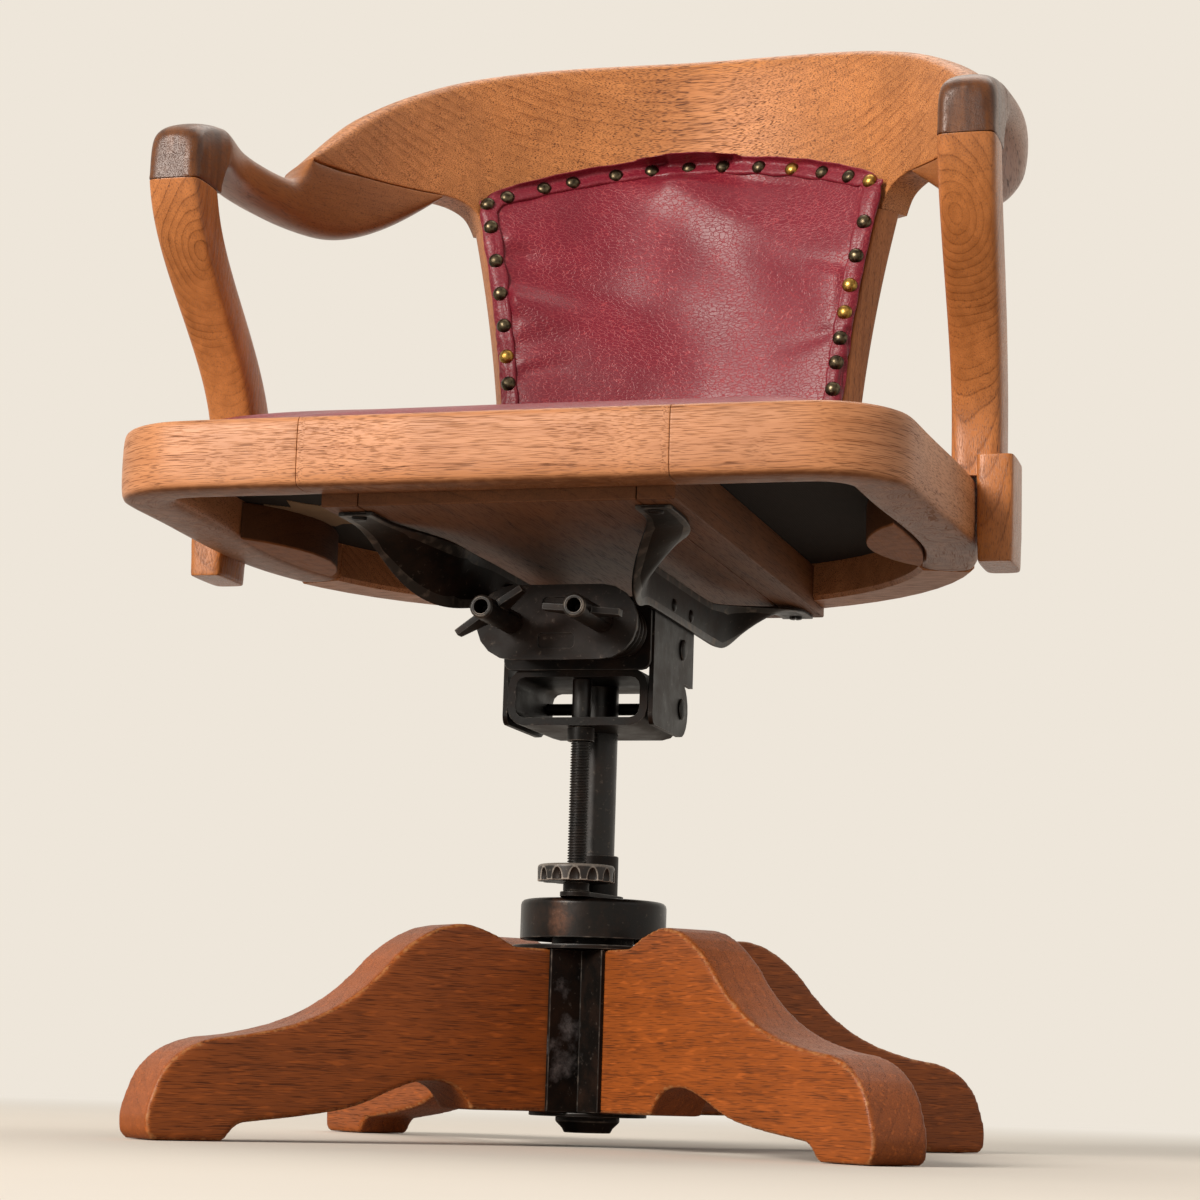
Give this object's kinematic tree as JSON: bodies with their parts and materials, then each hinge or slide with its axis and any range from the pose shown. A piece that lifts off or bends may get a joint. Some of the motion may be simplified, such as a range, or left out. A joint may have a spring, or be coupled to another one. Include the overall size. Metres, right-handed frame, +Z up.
{
  "type": "desk_chair",
  "caption": "Oak captain's chair with a burgundy leather seat and back, a swivelling four-leg base, a screw height adjuster and a sprung tilt mechanism open to view",
  "frame": {"origin": "on the floor under the swivel axis, which is within a few millimetres of the middle of the footprint", "axes": "+Z up; the sitter faces -Y; +X is on the right of someone who looks at the chair from the front"},
  "size_m": [0.592, 0.5626, 0.857],
  "materials": {
    "oak": "polished, satin",
    "oak_legs": "polished, satin, worn at the edges",
    "oak_underside": "bare, matt",
    "leather": "smooth, semi-gloss",
    "platform_cloth": "matt",
    "black_steel": "black, semi-gloss, worn",
    "worn_steel": "dark, worn bright on the edges",
    "spring_steel": "black"
  },
  "bodies": {
    "base": {"leg_front_left": "oak_legs", "leg_front_right": "oak_legs", "leg_back_right": "oak_legs", "leg_back_left": "oak_legs", "hub_tube": "black_steel", "hub_angle_front": "black_steel", "hub_angle_right": "black_steel", "hub_angle_back": "black_steel", "hub_angle_left": "black_steel", "hub_top_flange": "black_steel", "hub_bottom_plate": "black_steel", "hub_bottom_cap": "black_steel", "swivel_bearing": "worn_steel"},
    "swivel": {"swivel_cap": "black_steel", "post_sleeve": "black_steel", "screw_socket": "black_steel", "screw_rest_tube": "black_steel"},
    "handwheel": {"height_handwheel": "worn_steel", "height_screw": "black_steel"},
    "column": {"column_post": "black_steel", "screw_nut": "black_steel", "yoke_loop": "black_steel", "tilt_axle": "black_steel", "spring_seat_plate": "black_steel", "tilt_spring_left": "spring_steel", "tilt_spring_right": "spring_steel"},
    "seat": {"tilt_cheek_left": "black_steel", "tilt_cheek_right": "black_steel", "rod_pin": "black_steel", "seat_bracket_left": "black_steel", "seat_bracket_right": "black_steel", "mounting_board": "oak_underside", "board_strip_left": "oak_underside", "board_strip_right": "oak_underside", "post_block_left": "oak_underside", "post_block_right": "oak_underside", "seat_platform": "platform_cloth", "seat_pad": "leather", "back_panel": "leather", "seat_front_rail": "oak", "seat_side_rail_left": "oak", "seat_side_rail_right": "oak", "seat_back_rail": "oak", "arm_post_left": "oak", "arm_post_right": "oak", "arm_left": "oak", "arm_right": "oak", "crest_rail": "oak", "back_stile_left": "oak", "back_stile_right": "oak"},
    "tension_rods": {"tension_rod_left": "black_steel", "tension_rod_right": "black_steel"},
    "spring_cap": {"spring_cap_plate": "black_steel"},
    "wing_nut_left": {"wing_nut_left": "black_steel"},
    "wing_nut_right": {"wing_nut_right": "black_steel"}
  },
  "joints": [
    {"name": "swivel", "type": "hinge", "parent": "base", "child": "swivel", "pos_m": [0, 0, 0.1333], "axis": [0, 0, 1], "continuous": true},
    {"name": "height_wheel", "type": "hinge", "parent": "swivel", "child": "handwheel", "pos_m": [0, -0.045, 0.1749], "axis": [0, 0, -1], "range_deg": [0, 4640]},
    {"name": "column_lift", "type": "slide", "parent": "swivel", "child": "column", "axis": [0, 0, 1], "range_m": [0, 0.0238]},
    {"name": "seat_tilt", "type": "hinge", "parent": "column", "child": "seat", "pos_m": [0, 0.0205, 0.3], "axis": [-1, 0, 0], "range_deg": [0, 12], "stiffness_Nm_per_rad": 100, "springref_deg": -11.46, "deforming": ["tilt_spring_left", "tilt_spring_right"]},
    {"name": "rods_level", "type": "hinge", "parent": "seat", "child": "tension_rods", "pos_m": [0, 0.0205, 0.3415], "axis": [-1, 0, 0], "range_deg": [-12, 0]},
    {"name": "cap_adjust", "type": "slide", "parent": "tension_rods", "child": "spring_cap", "axis": [0, 1, 0], "range_m": [0, 0.003], "deforming": ["tilt_spring_left", "tilt_spring_right"]},
    {"name": "wing_nut_right_turn", "type": "hinge", "parent": "spring_cap", "child": "wing_nut_right", "pos_m": [0.031, -0.1114, 0.3415], "axis": [0, 1, 0], "range_deg": [0, 870]},
    {"name": "wing_nut_left_turn", "type": "hinge", "parent": "spring_cap", "child": "wing_nut_left", "pos_m": [-0.031, -0.1114, 0.3415], "axis": [0, 1, 0], "range_deg": [0, 870]}
  ],
  "couplings": [
    {"joint": "height_wheel", "follows": "column_lift", "rad_per_m": 3396.3},
    {"joint": "rods_level", "follows": "seat_tilt", "ratio": -1},
    {"joint": "wing_nut_right_turn", "follows": "cap_adjust", "rad_per_m": 5026.6},
    {"joint": "wing_nut_left_turn", "follows": "cap_adjust", "rad_per_m": 5026.6}
  ]
}
